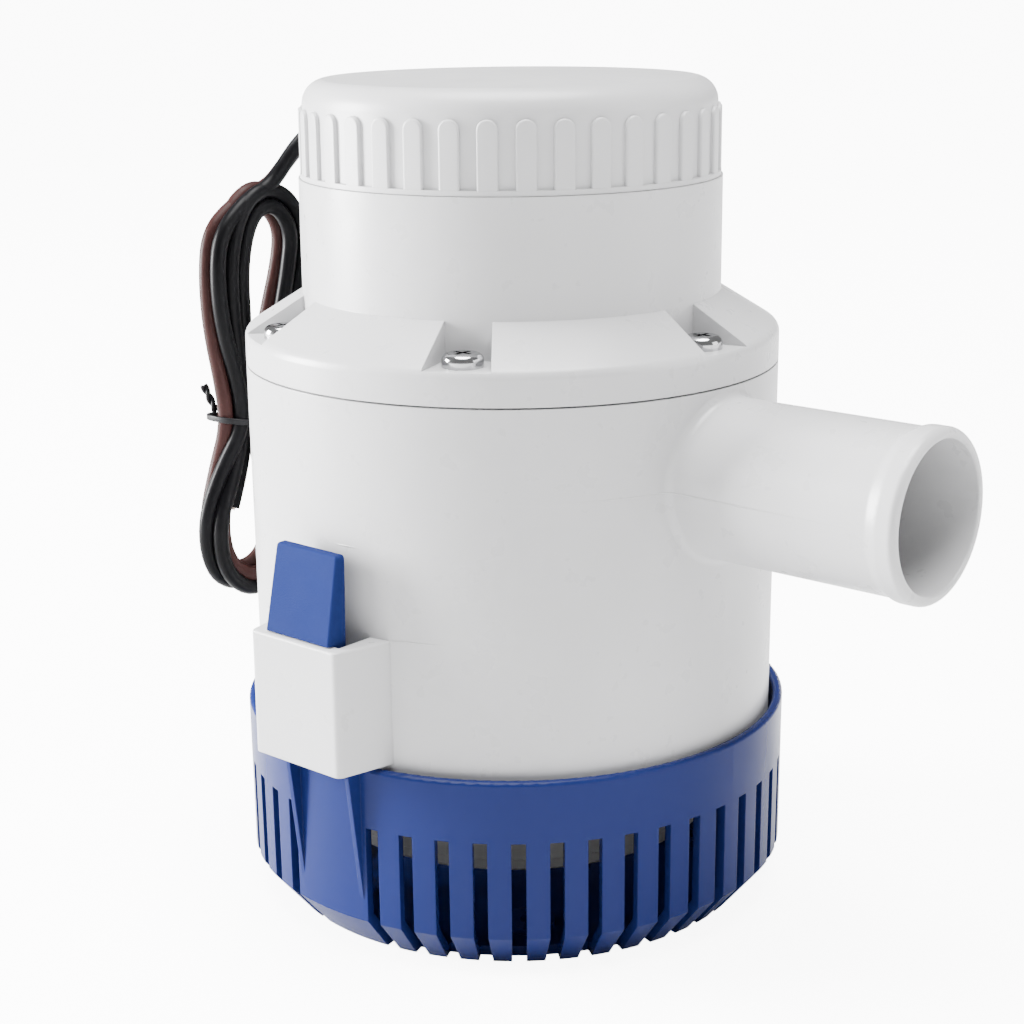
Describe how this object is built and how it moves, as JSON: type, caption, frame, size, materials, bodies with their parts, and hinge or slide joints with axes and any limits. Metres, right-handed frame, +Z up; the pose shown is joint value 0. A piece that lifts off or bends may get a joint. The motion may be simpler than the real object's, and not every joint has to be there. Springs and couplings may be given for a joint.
{
  "type": "bilge pump",
  "caption": "Submersible bilge pump: sealed motor in a round casing with a side hose outlet, on a slotted strainer base held by sprung latch tabs.",
  "frame": {"origin": "centre of the strainer's foot, on the surface it is screwed to", "axes": "+Z up the motor's axis, +X along the hose outlet, the two latches at -Y and +Y"},
  "size_m": [0.2052, 0.1554, 0.2039],
  "materials": {
    "blue_plastic": "satin moulded plastic",
    "white_plastic": "satin gloss moulded plastic",
    "grey_plastic": "moulded",
    "black_rubber": "matt",
    "stainless": "polished",
    "steel": "plain",
    "copper": "enamelled wire and bars",
    "brass": "plain",
    "phenolic": "plain",
    "ferrite": "ground",
    "carbon": "pressed",
    "lead_black": "smooth insulation",
    "lead_brown": "smooth insulation",
    "tie_plastic": "plastic ribbon"
  },
  "bodies": {
    "strainer": {"strainer_base": "blue_plastic"},
    "latch_front": {"latch_tab_front": "blue_plastic"},
    "latch_rear": {"latch_tab_rear": "blue_plastic"},
    "pump": {"pump_casing": "white_plastic", "inlet_skirt": "grey_plastic", "inlet_plate": "grey_plastic", "inlet_plate_screws": "stainless", "motor_housing": "white_plastic", "flange_gasket": "black_rubber", "flange_screws": "stainless", "top_cap": "white_plastic", "cap_o_ring": "black_rubber", "lead_gland": "black_rubber", "shaft_seal_lower": "black_rubber", "shaft_seal_upper": "black_rubber", "seal_washer": "stainless", "motor_can": "steel", "motor_seat_ring": "black_rubber", "field_magnets": "ferrite", "end_bell": "steel", "through_bolts": "steel", "bolt_nuts": "steel", "lower_bearing_outer_ring": "stainless", "lower_bearing_balls": "stainless", "upper_bearing_outer_ring": "stainless", "upper_bearing_balls": "stainless", "brush_card": "phenolic", "brush_posts": "brass", "internal_leads": "black_rubber", "lead_black": "lead_black", "lead_brown": "lead_brown", "lead_hank": "lead_black", "lead_tie": "tie_plastic"},
    "rotor": {"motor_shaft": "stainless", "impeller": "grey_plastic", "impeller_nut": "brass", "armature_core": "steel", "armature_windings": "copper", "commutator": "copper", "commutator_core": "phenolic", "lower_bearing_inner_ring": "stainless", "upper_bearing_inner_ring": "stainless"},
    "brush_gear_a": {"brush_a": "carbon", "brush_arm_a": "brass"},
    "brush_gear_b": {"brush_b": "carbon", "brush_arm_b": "brass"}
  },
  "joints": [
    {"name": "pump_lift", "type": "slide", "parent": "strainer", "child": "pump", "axis": [0, 0, 1], "range_m": [0, 0.09]},
    {"name": "latch_front_press", "type": "hinge", "parent": "strainer", "child": "latch_front", "pos_m": [0, -0.0726, 0.0505], "axis": [-1, 0, 0], "range_deg": [0, 4.5], "stiffness_Nm_per_rad": 3},
    {"name": "latch_rear_press", "type": "hinge", "parent": "strainer", "child": "latch_rear", "pos_m": [0, 0.0726, 0.0505], "axis": [1, 0, 0], "range_deg": [0, 4.5], "stiffness_Nm_per_rad": 3},
    {"name": "rotor_spin", "type": "hinge", "parent": "pump", "child": "rotor", "pos_m": [0, 0, 0.1], "axis": [0, 0, 1], "continuous": true},
    {"name": "brush_a_swing", "type": "hinge", "parent": "pump", "child": "brush_gear_a", "pos_m": [0.024, 0.018, 0.144], "axis": [0, 0, 1], "range_deg": [0, 6], "stiffness_Nm_per_rad": 0.05},
    {"name": "brush_b_swing", "type": "hinge", "parent": "pump", "child": "brush_gear_b", "pos_m": [-0.024, -0.018, 0.144], "axis": [0, 0, 1], "range_deg": [0, 6], "stiffness_Nm_per_rad": 0.05}
  ]
}
